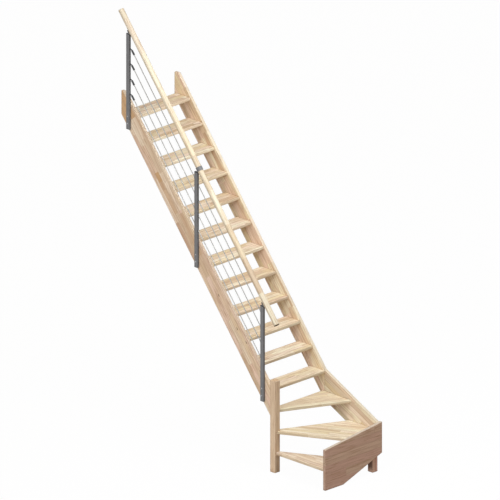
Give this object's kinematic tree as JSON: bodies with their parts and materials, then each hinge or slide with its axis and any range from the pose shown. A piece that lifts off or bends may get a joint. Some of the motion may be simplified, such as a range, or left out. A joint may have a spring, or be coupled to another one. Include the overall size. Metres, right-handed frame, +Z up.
{
  "type": "space-saver winder stair",
  "caption": "Steep closed-string wooden stair with open risers, a quarter turn of winders at its foot, and a one-sided balustrade of tube posts, rods and round rail.",
  "frame": {"origin": "centre of the newel's square foot, on the lower floor", "axes": "+X across the flight from the balustrade to the wall side, +Y up the straight flight, +Z up"},
  "size_m": [0.7077, 2.5009, 3.7582],
  "materials": {
    "stringer_wood": "untreated edge-glued light hardwood, sanded",
    "tread_wood": "untreated edge-glued light hardwood, sanded",
    "newel_wood": "untreated light hardwood, sanded",
    "rail_wood": "pale finger-jointed hardwood, turned and sanded",
    "post_coating": "grey powder-coated steel tube",
    "fitting_black": "dark grey satin coating",
    "rod_steel": "drawn stainless rod"
  },
  "bodies": {
    "root": {"left_stringer": "stringer_wood", "right_stringer": "stringer_wood", "winder_wall_stringer": "stringer_wood", "winder_front_stringer": "stringer_wood", "newel_post": "newel_wood", "corner_leg": "newel_wood", "winder_tread_1": "tread_wood", "winder_tread_2": "tread_wood", "winder_tread_3": "tread_wood", "tread_04": "tread_wood", "tread_05": "tread_wood", "tread_06": "tread_wood", "tread_07": "tread_wood", "tread_08": "tread_wood", "tread_09": "tread_wood", "tread_10": "tread_wood", "tread_11": "tread_wood", "tread_12": "tread_wood", "tread_13": "tread_wood", "tread_14": "tread_wood", "tread_15": "tread_wood", "lower_handrail": "rail_wood", "upper_handrail": "rail_wood", "lower_post": "post_coating", "lower_rail_bracket": "fitting_black", "middle_post": "post_coating", "middle_rail_bracket": "fitting_black", "upper_post": "post_coating", "upper_rail_bracket": "fitting_black", "middle_rod_bushings": "fitting_black", "rod_1": "rod_steel", "upper_rod_holder_1": "fitting_black", "lower_rod_holder_1": "fitting_black", "rod_2": "rod_steel", "upper_rod_holder_2": "fitting_black", "lower_rod_holder_2": "fitting_black", "rod_3": "rod_steel", "upper_rod_holder_3": "fitting_black", "lower_rod_holder_3": "fitting_black", "rod_4": "rod_steel", "upper_rod_holder_4": "fitting_black", "lower_rod_holder_4": "fitting_black"}
  },
  "joints": []
}
